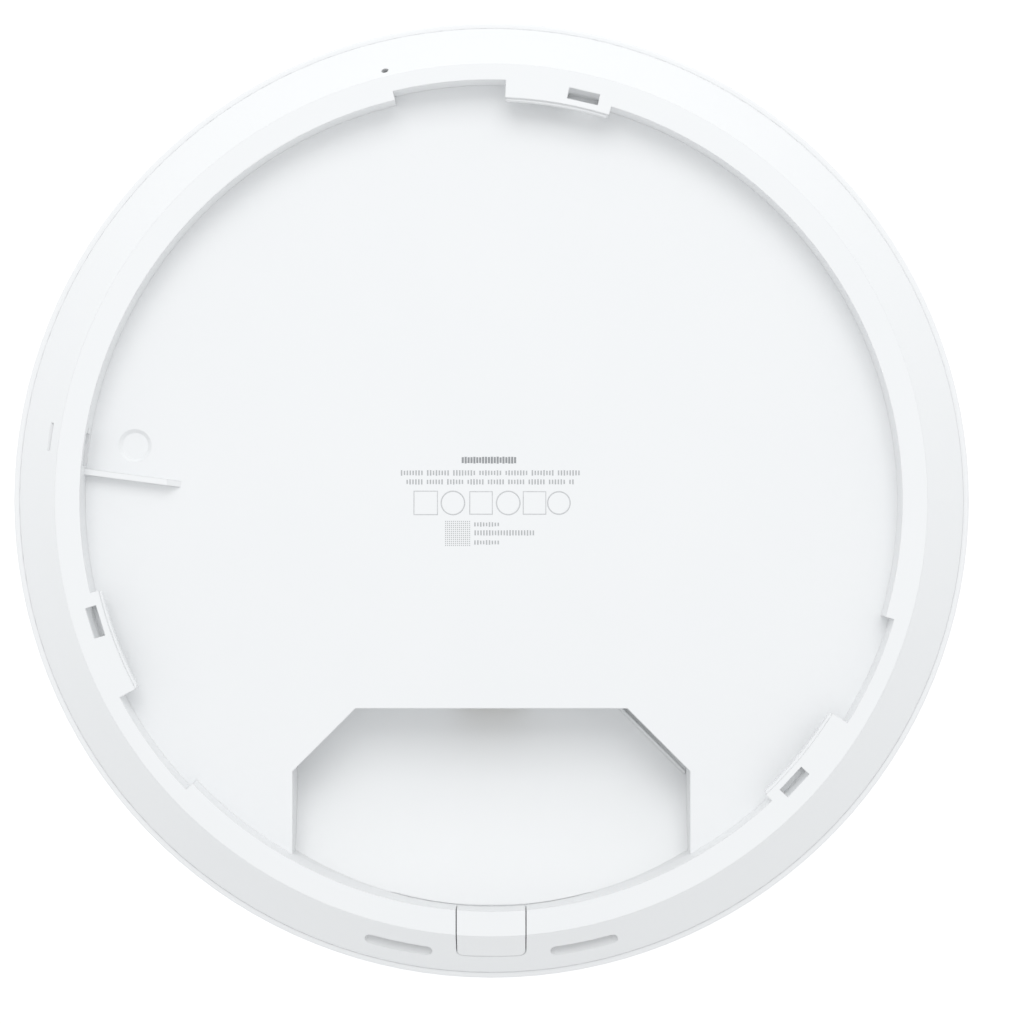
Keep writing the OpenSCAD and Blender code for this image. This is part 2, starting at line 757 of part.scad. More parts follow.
module heatsink() {
    clear = fan_w / 2 + 1;
    color([0.72, 0.73, 0.74]) difference() {
        union() {
            span([-sink_x, sink_y[0], sink_base_z], [sink_x, sink_y[1], sink_top_z]);
            for (x = [-sink_x + 1:fin_pitch:sink_x - fin_t])
                span([x, sink_y[0] + 1, sink_top_z - eps], [x + fin_t, sink_y[1] - 1, sink_fin_top]);
        }
        span([fan_at[0] - clear, fan_at[1] - clear, sink_top_z], [fan_at[0] + clear, fan_at[1] + clear, 0]);
        span([fan_at[0], 11, sink_top_z], [sink_x + 1, 17, 0]);
        place(sink_screw_spots) {
            translate([0, 0, sink_top_z]) cylinder(r = 3.6, h = 12, $fn = 48);
            translate([0, 0, sink_base_z - 1]) cylinder(r = 1.3, h = 5, $fn = 32);
        }
        for (x = [-1, 1], y = [-1, 1])
            translate([fan_at[0] + x * fan_hole, fan_at[1] + y * fan_hole, sink_base_z - 1])
                cylinder(r = 1.25, h = 5, $fn = 32);
    }
}

module heatsink_screws() color(metal) place(sink_screw_spots)
    screw_down(sink_top_z + eps, 2.4, 1.5, screw_r, 7.6);

module reset_spot() {
    drop = reset_mouth_z - (board_z + 4);
    rotate([0, 0, reset_angle]) translate([reset_mouth_r - drop * tan(reset_tilt), 0, 0]) children();
}

module reset_switch() {
    color(dark) reset_spot() difference() {
        translate([-3, -3, board_z + eps]) cube([6, 6, 3]);
        translate([0, 0, board_z + 1.2]) cylinder(r = 1.75, h = 4, $fn = 48);
    }
}

module reset_button() {
    color("ivory") reset_spot() difference() {
        union() {
            translate([0, 0, board_z + 1.9]) cylinder(r = 1.7, h = 2, $fn = 48);
            translate([0, 0, board_z + 3.4]) cylinder(r = 2.6, h = 1.2, $fn = 48);
        }
        translate([0, 0, board_z + 4.6 + 4.6]) sphere(5, $fn = 96);
    }
}

// ---- cooling fan ---------------------------------------------------------------------------

module at_fan() translate([fan_at[0], fan_at[1], fan_z]) children();

module fan_frame() {
    color(dark) at_fan() {
        difference() {
            linear_extrude(fan_t) rounded_rect(fan_w, fan_w, 2.5);
            translate([0, 0, -1]) cylinder(r = fan_bore_r, h = fan_t + 2);
            for (x = [-1, 1], y = [-1, 1]) translate([x * fan_hole, y * fan_hole, -1])
                cylinder(r = 1.4, h = fan_t + 2, $fn = 32);
        }
        difference() {
            union() {
                cylinder(r = fan_hub_r - 0.4, h = fan_floor);
                for (a = [30, 150, 270]) rotate([0, 0, a]) translate([0, -1, 0])
                    cube([fan_bore_r + 0.2, 2, fan_floor]);
            }
            translate([0, 0, -1]) cylinder(r = 1.9, h = 4, $fn = 48);
        }
    }
}

module fan_bearing() color(brass) at_fan() ring(1.85, 0.8, 0.1, 4.6);

module fan_stator() {
    color([0.72, 0.42, 0.22]) at_fan() {
        ring(3.2, 1.95, fan_floor + eps, 4.6);
        for (a = [0:90:270]) rotate([0, 0, a]) {
            translate([3, -1, 1.6]) cube([3, 2, 2.4]);
            intersection() {
                ring(6.5, 5.4, 1.4, 4.4);
                translate([0, -3, 0]) cube([8, 6, 6]);
            }
        }
    }
}

module fan_shaft() color(metal) at_fan() translate([0, 0, 0.4]) cylinder(r = 0.75, h = 5.8, $fn = 48);

module fan_rotor() {
    color([0.16, 0.16, 0.17]) at_fan() {
        difference() {
            translate([0, 0, 1.4]) cylinder(r = fan_hub_r, h = 5.6);
            translate([0, 0, 1]) cylinder(r = fan_hub_r - 0.8, h = 4.9);
            translate([0, 0, 1]) cylinder(r = 0.77, h = 5.22, $fn = 48);
        }
        for (k = [0:fan_blades - 1])
            rotate([0, 0, k * 360 / fan_blades]) intersection() {
                translate([0, 0, 3.9]) rotate([38, 0, 0]) translate([fan_hub_r - 0.3, -5, -0.5])
                    cube([12, 10, 1]);
                translate([0, 0, 1.4]) cylinder(r = fan_bore_r - 0.6, h = 5.4);
            }
    }
}

module fan_magnet_ring() color([0.3, 0.28, 0.28]) at_fan() ring(7.95, 6.95, 1.6, 5.5);

module fan_screws() {
    color(metal) for (x = [-1, 1], y = [-1, 1])
        translate([fan_at[0] + x * fan_hole, fan_at[1] + y * fan_hole, 0])
            screw_down(fan_z + fan_t + eps, 2.4, 0.8, 1.2, 9);
}

module fan_lead() color(dark) lead(fan_lead_points, 1);

module fan_plug() color("ivory") span([60.4, 5.8, -17.4], [67.6, 9.2, -15.1]);

module fan_header() {
    color("ivory") translate([64, 7.5, 0]) on_board([8, 4, 5]);
}

// ---- fasteners -----------------------------------------------------------------------------

module board_screws() color(metal) place(boss_spots) screw_up(board_under, 2.4, 1.4, screw_r, 7);

module bay_screws() {
    color(metal) for (s = [-1, 1])
        translate([s * bay_ear[0], bay_ear[1], 0]) screw_up(bay_ear_z - bay_ear_t, 1.8, 1.1, 0.8, 3.2);
}

// ---- antennas on their plate ---------------------------------------------------------------

module at_antennas(band) for (a = band[2]) rotate([0, 0, a]) translate([antenna_r, 0, plate_front])
    children();

// A bent sheet: foot on the plate, upright, flat patch, and a narrow feed tab beside the foot
module antenna(size, h) {
    foot = size[0] / 2;
    translate([0, size[1] / 2, 0]) rotate([90, 0, 0]) linear_extrude(size[1])
        strip([[-foot, -h + sheet_t / 2], [foot - 0.5, -h + sheet_t / 2]], sheet_t);
    difference() {
        translate([0, size[1] / 2, 0]) rotate([90, 0, 0]) linear_extrude(6)
            strip([
                [foot - 2, -h + sheet_t / 2], [foot, -h + sheet_t / 2],
                [foot, -sheet_t / 2 - eps], [foot + 5, -sheet_t / 2 - eps]
            ], sheet_t);
        translate([foot + 3, size[1] / 2 - 3, -2]) cylinder(r = 0.95, h = 4, $fn = 32);
    }
    translate([0, size[1] / 2 - 8, 0]) rotate([90, 0, 0]) linear_extrude(2)
        strip([[foot - 2, -h + sheet_t / 2], [foot, -h + sheet_t / 2], [foot, -2.4]], sheet_t);
}

module low_band_antennas() color(brass) at_antennas(low_band) antenna(low_band[0], low_band[1]);
module mid_band_antennas() color(brass) at_antennas(mid_band) antenna(mid_band[0], mid_band[1]);
module high_band_antennas() color(brass) at_antennas(high_band) antenna(high_band[0], high_band[1]);

// Plastic posts that hold up the free ends of the patches
module antenna_carriers() {
    color(trim_white) for (band = [low_band, mid_band, high_band])
        at_antennas(band) translate([-band[0][0] / 2 + 1, -band[0][1] / 2 + 3, -band[1] + sheet_t + eps])
            cube([3, band[0][1] - 6, band[1] - sheet_t - 2 * eps]);
}

module antenna_rivets() {
    color(metal) for (band = [low_band, mid_band, high_band])
        at_antennas(band) translate([band[0][0] / 2 + 3, band[0][1] / 2 - 3, 0]) {
            translate([0, 0, -sheet_t - 0.9]) cylinder(r = 1.6, h = 0.85, $fn = 32);
            translate([0, 0, -sheet_t - 0.1]) cylinder(r = 0.85, h = 2.1, $fn = 32);
        }
}

function coax_y(band) = band[0][1] / 2 - 9;
function coax_x(band) = antenna_r + band[0][0] / 2;

module antenna_plate() {
    color(metal) difference() {
        union() {
            translate([0, 0, plate_front]) cylinder(r = plate_r, h = plate_t, $fn = 180);
            ring(plate_r, plate_r - 1, plate_front - 2, plate_front + eps);
        }
        translate([0, 0, plate_front - 1]) cylinder(r = 8, h = 4);
        place(standoff_spots) translate([0, 0, plate_front - 1]) cylinder(r = 1.3, h = 4, $fn = 32);
        for (band = [low_band, mid_band, high_band]) at_antennas(band) {
            translate([band[0][0] / 2 + 3, band[0][1] / 2 - 3, -1]) cylinder(r = 0.95, h = 4, $fn = 32);
            translate([band[0][0] / 2, coax_y(band), -1]) cylinder(r = 1.4, h = 4, $fn = 32);
        }
    }
}

module plate_standoffs() {
    color(brass) place(standoff_spots) difference() {
        translate([0, 0, plate_z + eps]) cylinder(r = 2.9, h = board_under - plate_z - 2 * eps, $fn = 6);
        translate([0, 0, plate_z - 1]) cylinder(r = 1.1, h = 4.4, $fn = 32);
    }
}

module plate_screws() color(metal) place(standoff_spots) screw_up(plate_front, 2.4, 1.3, 1.05, 3.9);

module coax_leads() {
    color([0.2, 0.2, 0.2]) for (band = [low_band, mid_band, high_band], a = band[2])
        rotate([0, 0, a]) translate([coax_x(band), coax_y(band), 0]) lead([
            [0, 0, -30.9], [0, 0, -28.6], [-1, 0, -27.2], [-3, 0, -26.6], [-8, 0, -26.6], [-12, 0, -26.4]
        ], coax_r);
}

module at_coax_ends() {
    for (band = [low_band, mid_band, high_band], a = band[2])
        rotate([0, 0, a]) translate([coax_x(band) - 13.6, coax_y(band), 0]) children();
}

module coax_plugs() color(brass) at_coax_ends() translate([0, 0, -27]) cylinder(r = 1.5, h = 1.3, $fn = 32);

module coax_sockets() color(brass) at_coax_ends() translate([0, 0, -25.68])
    cylinder(r = 1, h = board_under + 25.66, $fn = 32);

module front_shields() {
    color(metal) place([[-22, 30], [22, 30], [0, -58]]) translate([0, 0, board_under - shield_t])
        difference() {
        linear_extrude(shield_t - eps) rounded_rect(30, 22, 0.3);
        translate([0, 0, 0.3]) linear_extrude(shield_t) rounded_rect(29.4, 21.4, 0.3);
    }
}

back_shell();
cable_bay();
cable_cover();
front_cover();
led_ring();
light_guide();
led_board();
status_leds();
led_posts();
led_cable();
led_header();
main_board();
ethernet_jack_shell();
ethernet_jack_insert();
ethernet_jack_contacts();
lan_magnetics();
poe_transformer_core();
poe_transformer_winding();
bridge_rectifiers();
power_inductors();
bulk_capacitors();
main_processor();
memory_chips();
radio_chips();
radio_shields();
thermal_pads();
heatsink();
heatsink_screws();
reset_switch();
reset_button();
fan_frame();
fan_stator();
fan_bearing();
fan_rotor();
fan_magnet_ring();
fan_shaft();
fan_screws();
fan_lead();
fan_plug();
fan_header();
board_screws();
bay_screws();
antenna_plate();
plate_standoffs();
plate_screws();
low_band_antennas();
mid_band_antennas();
high_band_antennas();
antenna_carriers();
antenna_rivets();
coax_leads();
coax_plugs();
coax_sockets();
front_shields();
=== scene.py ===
# %% [markdown]
# # Dressing a round ceiling access point
# The object is a white wireless access point that hangs under a ceiling. Its back has a flat rim, a round
# recess that turns onto a bracket, and a scooped bay for the network cable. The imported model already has
# every true shape and size, so this lesson keeps those shapes and gives them their real finishes, adds the
# fine work that is too small for the model, and sets up the studio. Everything is in metres, +Z points up
# to the ceiling.
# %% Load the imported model
import math

import bpy
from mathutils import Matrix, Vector


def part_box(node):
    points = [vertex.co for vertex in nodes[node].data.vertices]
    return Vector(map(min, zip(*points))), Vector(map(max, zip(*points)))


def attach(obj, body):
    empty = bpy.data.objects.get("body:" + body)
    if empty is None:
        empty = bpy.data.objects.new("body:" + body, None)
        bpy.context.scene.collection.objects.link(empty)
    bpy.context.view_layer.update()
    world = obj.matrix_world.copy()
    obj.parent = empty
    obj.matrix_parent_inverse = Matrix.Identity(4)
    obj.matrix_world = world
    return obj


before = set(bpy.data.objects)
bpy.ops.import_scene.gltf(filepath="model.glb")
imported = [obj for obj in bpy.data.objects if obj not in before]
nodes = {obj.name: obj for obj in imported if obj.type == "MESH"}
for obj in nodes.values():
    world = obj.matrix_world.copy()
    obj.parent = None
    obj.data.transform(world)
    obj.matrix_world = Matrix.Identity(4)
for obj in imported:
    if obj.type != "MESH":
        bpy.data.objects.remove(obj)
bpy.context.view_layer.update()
scene = bpy.context.scene
MM = 0.001

# %% [markdown]
# ## The camera
# A camera made first shows what each later step changes. This one looks straight down on the recess from
# half a metre above the rim. That is close enough for the walls of the recess to show a little, as they do
# on a desk under a copy stand. The lens is a short telephoto, so the round rim stays round up to the edge
# of the frame.
# %% Look straight down on the recess
CAMERA_PLACE = (0.0044, -0.0025, 0.5)
camera_lens = bpy.data.cameras.new("studio_camera")
camera_lens.lens = 83.5
camera_lens.sensor_width = 36
camera_lens.clip_start = 0.02
camera = bpy.data.objects.new("studio_camera", camera_lens)
camera.location = CAMERA_PLACE
scene.collection.objects.link(camera)
scene.camera = camera
print("camera at", CAMERA_PLACE, "lens", camera_lens.lens)

# %% [markdown]
# ## Writing materials as sums
# A material is a net of nodes. Wiring it by hand in Python takes many lines, so two small classes do it. A
# Wire is the output of one node, and ordinary sums on wires add Math nodes. A Net adds any other node from
# its type, its settings and what goes into its sockets. The same two classes build the Geometry Nodes trees
# further on.
# %% Wire and Net
class Wire:
    """The output of one node. Sums on it add Math nodes to its net."""

    def __init__(self, net, socket):
        self.net = net
        self.socket = socket

    def sum(self, operation, *terms):
        return self.net.node("ShaderNodeMath", {"operation": operation}, dict(enumerate(terms)))

    def __add__(self, other):
        return self.sum("ADD", self, other)

    def __radd__(self, other):
        return self.sum("ADD", other, self)

    def __sub__(self, other):
        return self.sum("SUBTRACT", self, other)

    def __rsub__(self, other):
        return self.sum("SUBTRACT", other, self)

    def __mul__(self, other):
        return self.sum("MULTIPLY", self, other)

    def __rmul__(self, other):
        return self.sum("MULTIPLY", other, self)

    def __truediv__(self, other):
        return self.sum("DIVIDE", self, other)

    def __rtruediv__(self, other):
        return self.sum("DIVIDE", other, self)

    def __gt__(self, other):
        return self.sum("GREATER_THAN", self, other)

    def __lt__(self, other):
        return self.sum("LESS_THAN", self, other)

    def larger(self, other):
        return self.sum("MAXIMUM", self, other)

    def cycle(self, length):
        """How far the value is through a repeat of this length, from 0 to 1."""
        return self.sum("FRACT", self / length)

    def between(self, low, high):
        """0 at low, 1 at high, a straight line between them and flat outside."""
        return self.net.node("ShaderNodeMapRange", {}, {"Value": self, "From Min": low, "From Max": high})

    def output(self, name):
        """Another output of the same node."""
        return Wire(self.net, self.socket.node.outputs[name])


class Net:
    """A node tree that is built by calls."""

    def __init__(self, tree):
        self.tree = tree

    def node(self, kind, settings=None, sockets=None, out=0):
        made = self.tree.nodes.new(kind)
        for key, value in (settings or {}).items():
            setattr(made, key, value)
        for key, value in (sockets or {}).items():
            self.feed(made.inputs[key], value)
        return Wire(self, made.outputs[out]) if made.outputs else made

    def feed(self, socket, value):
        if isinstance(value, Wire):
            self.tree.links.new(value.socket, socket)
        elif value is not None:
            socket.default_value = value

    def place(self):
        """Where a point is on the object, in metres."""
        return self.node("ShaderNodeTexCoord", out="Object")

    def axes(self):
        """The three coordinates of that place as numbers."""
        parts = self.node("ShaderNodeSeparateXYZ", {}, {0: self.place()})
        return parts, parts.output("Y"), parts.output("Z")

    def stretched(self, scale):
        return self.node("ShaderNodeMapping", {}, {"Vector": self.place(), "Scale": scale})

    def noise(self, size, place=None, detail=2.0):
        """Cloudy noise whose lumps are about this size."""
        sockets = {"Vector": place or self.place(), "Scale": 1 / size, "Detail": detail}
        return self.node("ShaderNodeTexNoise", {}, sockets)

    def tint(self, amount, low, high):
        """A colour that goes from low to high with amount."""
        sockets = {0: amount, 6: (*low, 1), 7: (*high, 1)}
        return self.node("ShaderNodeMix", {"data_type": "RGBA"}, sockets, out=2)

    def bump(self, height, depth, under=None):
        return self.node("ShaderNodeBump", {}, {"Height": height, "Distance": depth, "Normal": under})

    def surface(self, **sockets):
        """The Principled shader with these sockets, joined to the output."""
        named = {key.replace("_", " "): value for key, value in sockets.items()}
        if isinstance(named.get("Base Color"), tuple):
            named["Base Color"] = (*named["Base Color"], 1)
        shader = self.node("ShaderNodeBsdfPrincipled", {}, named)
        self.node("ShaderNodeOutputMaterial", {}, {"Surface": shader})


def new_finish(name):
    """An empty material and the net to fill it with."""
    material = bpy.data.materials.new(name)
    material.use_nodes = True
    material.node_tree.nodes.clear()
    return material, Net(material.node_tree)


print("wires and nets are ready")

# %% [markdown]
# ## White moulded plastic
# The housing is injection moulded. The steel mould was spark eroded, so the plastic copies a very fine matt
# grain, and slow cloudy changes in gloss follow the way the melt flowed. Two sizes of noise give the grain,
# a large soft one gives the clouds. Real edges are never sharp: a Bevel node rounds the shading of each
# edge, so it catches a thin line of light. Each moulding gets its own grain, because each came from its own
# mould.
# %% Finishes for the four mouldings
def moulded_white(name, white, shade, grain, depth, gloss, edge):
    """White plastic: colour, colour of its clouds, size and depth of the grain, roughness, edge radius."""
    material, net = new_finish(name)
    clouds = net.noise(28 * MM, detail=3.0).between(0.3, 0.7)
    sand = net.noise(grain)
    dust = net.noise(grain / 3, detail=1.0)
    rounded = net.node("ShaderNodeBevel", {"samples": 4}, {"Radius": edge})
    net.surface(
        Base_Color=net.tint(clouds, shade, white),
        Roughness=gloss + 0.06 * clouds + 0.1 * (sand - 0.5),
        IOR=1.46,
        Normal=net.bump(0.7 * sand + 0.3 * dust, depth, rounded),
    )
    return material


finishes = {
    "shell_plastic": moulded_white(
        "white_shell", (0.845, 0.853, 0.86), (0.838, 0.847, 0.855), 0.24 * MM, 0.004 * MM, 0.42, 0.3 * MM
    ),
    # The bay's white is a little greyer than the shell's. That is painted shade for the deep bay, which lies
    # in the shadow of its walls.
    "bay_plastic": moulded_white(
        "white_bay", (0.808, 0.816, 0.821), (0.8, 0.809, 0.816), 0.3 * MM, 0.003 * MM, 0.36, 0.4 * MM
    ),
    "cover_plastic": moulded_white(
        "white_exit_cover", (0.847, 0.854, 0.86), (0.84, 0.848, 0.855), 0.22 * MM, 0.004 * MM, 0.44, 0.25 * MM
    ),
    "front_plastic": moulded_white(
        "white_front", (0.852, 0.858, 0.864), (0.846, 0.853, 0.86), 0.16 * MM, 0.002 * MM, 0.3, 0.3 * MM
    ),
}
print("white finishes:", sorted(finishes))

# %% [markdown]
# ## Metals
# Thin parts are stamped from rolled sheet, so fine lines run one way along the metal. Noise stretched along
# one axis gives those lines, both as bump and as streaks of gloss. Screws and rivets are plated and have
# tiny blotches instead, and the heatsink is extruded, with its lines along the fins. Gold and brass differ
# in colour and in how dull they have become.
# %% Finishes for metal
def rolled_metal(name, bright, dull, along, gloss, depth=0.002 * MM):
    """Metal with fine lines. along says how long the grain is on each axis."""
    material, net = new_finish(name)
    lines = net.noise(0.25 * MM, net.stretched([1 / a for a in along]))
    tarnish = net.noise(6 * MM, detail=4.0).between(0.35, 0.75)
    net.surface(
        Base_Color=net.tint(tarnish, bright, dull),
        Metallic=1.0,
        Roughness=gloss + 0.18 * (lines - 0.5) + 0.12 * tarnish,
        Normal=net.bump(lines, depth),
    )
    return material


EVEN = (1, 1, 1)
LONG_X = (30, 1, 1)
LONG_Y = (1, 30, 1)
finishes |= {
    "tin_steel": rolled_metal("tinned_sheet", (0.73, 0.74, 0.75), (0.6, 0.61, 0.62), LONG_X, 0.3),
    "screw_steel": rolled_metal("zinc_plate", (0.66, 0.67, 0.69), (0.5, 0.51, 0.53), EVEN, 0.34),
    "gold_contact": rolled_metal("gold_plate", (0.86, 0.66, 0.27), (0.74, 0.53, 0.2), EVEN, 0.2),
    "antenna_brass": rolled_metal("rolled_brass", (0.8, 0.66, 0.38), (0.64, 0.5, 0.27), LONG_Y, 0.32),
    "heatsink_alu": rolled_metal("extruded_aluminium", (0.74, 0.75, 0.76), (0.63, 0.64, 0.65), LONG_Y, 0.38),
    "plate_alu": rolled_metal("rolled_aluminium", (0.8, 0.81, 0.82), (0.69, 0.7, 0.71), LONG_X, 0.3),
    "capacitor_can": rolled_metal("drawn_aluminium", (0.82, 0.83, 0.84), (0.7, 0.71, 0.72), (1, 1, 20), 0.26),
    "copper": rolled_metal("wound_copper", (0.75, 0.36, 0.18), (0.5, 0.2, 0.1), (20, 20, 1), 0.3),
    "magnet": rolled_metal("sintered_magnet", (0.16, 0.155, 0.15), (0.1, 0.1, 0.1), EVEN, 0.5, 0.006 * MM),
}
print("metal finishes:", len(finishes) - 4)

# %% [markdown]
# ## Dark and coloured plastics
# Connectors, chips and the fan are glass-filled or mineral-filled plastic. The filler leaves tiny pale
# flecks and a dry, uneven gloss. One function makes them all: a base colour, a fleck colour, the size of
# the flecks and how shiny the skin is.
# %% Finishes for filled plastics
def filled_plastic(name, base, fleck, size, gloss, depth):
    """Plastic with a filler that shows as small flecks."""
    material, net = new_finish(name)
    flecks = net.noise(size, detail=3.0).between(0.52, 0.72)
    flow = net.noise(5 * MM)
    net.surface(
        Base_Color=net.tint(flecks, base, fleck),
        Roughness=gloss + 0.12 * (flow - 0.5) - 0.06 * flecks,
        IOR=1.5,
        Normal=net.bump(flecks, depth),
    )
    return material


finishes |= {
    "black_plastic": filled_plastic(
        "glass_filled_black", (0.02, 0.02, 0.022), (0.045, 0.045, 0.047), 0.3 * MM, 0.48, 0.005 * MM
    ),
    "ivory_plastic": filled_plastic(
        "connector_ivory", (0.8, 0.76, 0.66), (0.86, 0.83, 0.75), 0.4 * MM, 0.4, 0.003 * MM
    ),
    "chip_black": filled_plastic(
        "chip_epoxy", (0.025, 0.025, 0.028), (0.06, 0.06, 0.062), 0.12 * MM, 0.55, 0.004 * MM
    ),
    "ferrite": filled_plastic(
        "ferrite", (0.045, 0.043, 0.042), (0.1, 0.098, 0.095), 0.2 * MM, 0.62, 0.01 * MM
    ),
    "pad": filled_plastic(
        "thermal_pad", (0.36, 0.47, 0.58), (0.46, 0.56, 0.66), 0.35 * MM, 0.75, 0.01 * MM
    ),
    "lead_jacket": filled_plastic(
        "lead_jacket", (0.05, 0.05, 0.055), (0.075, 0.075, 0.08), 0.5 * MM, 0.36, 0.002 * MM
    ),
    "carrier_plastic": filled_plastic(
        "carrier_blue_grey", (0.2, 0.23, 0.27), (0.28, 0.31, 0.35), 0.25 * MM, 0.5, 0.004 * MM
    ),
    "led_body": filled_plastic(
        "light_body", (0.86, 0.84, 0.72), (0.9, 0.88, 0.8), 0.1 * MM, 0.35, 0.002 * MM
    ),
}
print("finishes so far:", len(finishes))

# %% [markdown]
# ## The circuit board
# A board is glass cloth with copper tracks under green lacquer. The lacquer is lighter and slightly raised
# over copper. Random cells a few millimetres wide decide where the tracks run one way, where they run the
# other way and where the copper is left whole. Small tinned rings are vias, the holes that join the two
# sides. The middle of each via is painted near black, as painted shade for the inside of the hole.
# %% Finish for circuit boards
def solder_mask(name, bare, over_copper, tin):
    material, net = new_finish(name)
    across, along, _ = net.axes()
    cells = net.node(
        "ShaderNodeTexVoronoi",
        {"feature": "F1", "distance": "CHEBYCHEV"},
        {"Scale": 1 / (7 * MM), "Vector": net.place()},
    )
    lot = net.node("ShaderNodeSeparateColor", {}, {0: cells.output("Color")})
    track_pitch = 0.8 * MM
    rows = across.cycle(track_pitch) > 0.5
    columns = along.cycle(track_pitch) > 0.5
    pour = lot > 0.72
    copper = ((lot < 0.36) * rows + (lot > 0.36) * columns).larger(pour)
    via_cells = net.node(
        "ShaderNodeTexVoronoi", {}, {"Scale": 1 / (2.6 * MM), "Randomness": 0.55, "Vector": net.place()}
    )
    via = via_cells < 0.13
    hole = via_cells < 0.06
    lacquer = net.tint(copper, bare, over_copper)
    mix = {"data_type": "RGBA"}
    metal = net.node("ShaderNodeMix", mix, {0: via, 6: lacquer, 7: (*tin, 1)}, out=2)
    # The middle of each via is painted near black: painted shade for the inside of the hole.
    colours_with_painted_hole_shade = net.node("ShaderNodeMix", mix, {0: hole, 6: metal, 7: (0.01, 0.01, 0.01, 1)}, out=2)
    weave = net.noise(0.3 * MM)
    net.surface(
        Base_Color=colours_with_painted_hole_shade,
        Metallic=via - hole,
        Roughness=0.28 + 0.1 * weave + 0.08 * copper,
        Normal=net.bump(copper + 0.2 * weave + 0.8 * via - hole, 0.02 * MM),
    )
    return material


finishes["circuit_board"] = solder_mask(
    "green_lacquer", (0.012, 0.085, 0.06), (0.02, 0.15, 0.1), (0.7, 0.71, 0.72)
)
print("board finish:", finishes["circuit_board"].name)

# %% [markdown]
# ## Light ring, light guide, coil and flat cable
# The ring in the front is milky plastic that spreads light, so it gets a soft faint glow and a polished
# coat. The guide behind it is clear, which needs transmission. A coil shows its turns as fine ridges, so
# the bump repeats with the wire's thickness, and the flat cable shows its copper conductors as stripes.
# %% The last finishes
def milky_ring():
    material, net = new_finish("milky_ring")
    swirl = net.noise(2 * MM, detail=3.0)
    net.surface(
        Base_Color=net.tint(swirl.between(0.35, 0.65), (0.83, 0.86, 0.9), (0.87, 0.89, 0.92)),
        Roughness=0.24 + 0.06 * swirl,
        Coat_Weight=0.4,
        Emission_Color=(0.62, 0.78, 1.0, 1),
        Emission_Strength=0.12,
        Normal=net.bump(swirl, 0.003 * MM),
    )
    return material


def clear_guide():
    material, net = new_finish("clear_guide")
    ripple = net.noise(1.5 * MM)
    net.surface(
        Base_Color=(0.94, 0.97, 1.0),
        Roughness=0.03 + 0.05 * ripple,
        IOR=1.49,
        Transmission_Weight=1.0,
        Normal=net.bump(ripple, 0.002 * MM),
    )
    return material


def wound_wire(name, enamel, painted_groove_shade, wire):
    """Turns of enamelled wire that lie side by side along Y."""
    material, net = new_finish(name)
    _, along, _ = net.axes()
    turn = along.cycle(wire)
    ridge = 4 * turn * (1 - turn)
    blotch = net.noise(1.2 * MM)
    net.surface(
        # The grooves between the turns get the darker colour: painted shade where the turns shade each other,
        # with the enamel colour on the crests.
        Base_Color=net.tint(ridge.between(0.1, 0.7), painted_groove_shade, enamel),
        Roughness=0.3 + 0.12 * blotch,
        Coat_Weight=0.5,
        Normal=net.bump(ridge, wire * 0.4),
    )
    return material


def flat_cable():
    material, net = new_finish("flat_cable")
    across, _, _ = net.axes()
    copper = across.cycle(0.5 * MM) > 0.45
    film = net.noise(2 * MM)
    net.surface(
        Base_Color=net.tint(copper, (0.55, 0.27, 0.06), (0.72, 0.42, 0.14)),
        Roughness=0.25 + 0.12 * film,
        Coat_Weight=0.4,
        Normal=net.bump(copper, 0.01 * MM),
    )
    return material


finishes |= {
    "diffuser": milky_ring(),
    "clear_plastic": clear_guide(),
    "winding": wound_wire("enamelled_wire", (0.62, 0.3, 0.1), (0.2, 0.08, 0.03), 0.35 * MM),
    "flex": flat_cable(),
}
print("all finishes:", len(finishes))

# %% [markdown]
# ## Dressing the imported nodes
# Each node came in with a plain material named after its slot in the record. Swapping that material for the
# finish of the same name dresses the whole object in one loop, and a missing finish would show at once.
# %% Put each finish on its nodes
dressed = {}
for name, node in nodes.items():
    for holder in node.material_slots:
        slot = holder.material.name.split(".")[0]
        holder.material = finishes[slot]
        dressed.setdefault(slot, []).append(name)
for slot in sorted(dressed):
    print(f"{slot}: {len(dressed[slot])} nodes")

# %% [markdown]
# ## The printed block
# Ratings are pad printed on the recess floor as a few thin rows, a row of small marks and a small square.
# Here they say nothing: the rows are dashes, the marks are plain outlines and the square is a regular grid
# of dots. All of it repeats, so one Geometry Nodes tree makes it. Points on a line or a grid carry small
# boxes, as thin as a film of ink. Every few dashes one is left out, and a fixed seed picks the height of
# the rest. Geometry is crisp at any distance, which a texture would not be.
# %% Inks
def printing_ink(name, dark, pale):
    """Ink that covers unevenly, so the white plastic shows through a little."""
    material, net = new_finish(name)
    cover = net.noise(0.3 * MM, detail=3.0).between(0.3, 0.7)
    net.surface(
        Base_Color=net.tint(cover, pale, dark),
        Roughness=0.5 + 0.15 * cover,
        Normal=net.bump(cover, 0.002 * MM),
    )
    return material


inks = {
    "dark": printing_ink("dark_ink", (0.26, 0.27, 0.28), (0.33, 0.34, 0.35)),
    "grey": printing_ink("grey_ink", (0.42, 0.43, 0.44), (0.5, 0.51, 0.52)),
    "pale": printing_ink("pale_ink", (0.56, 0.57, 0.58), (0.62, 0.63, 0.64)),
}
print("inks:", sorted(inks))

# %% Geometry Nodes helpers
SOCKETS = {float: "NodeSocketFloat", int: "NodeSocketInt", bpy.types.Material: "NodeSocketMaterial"}


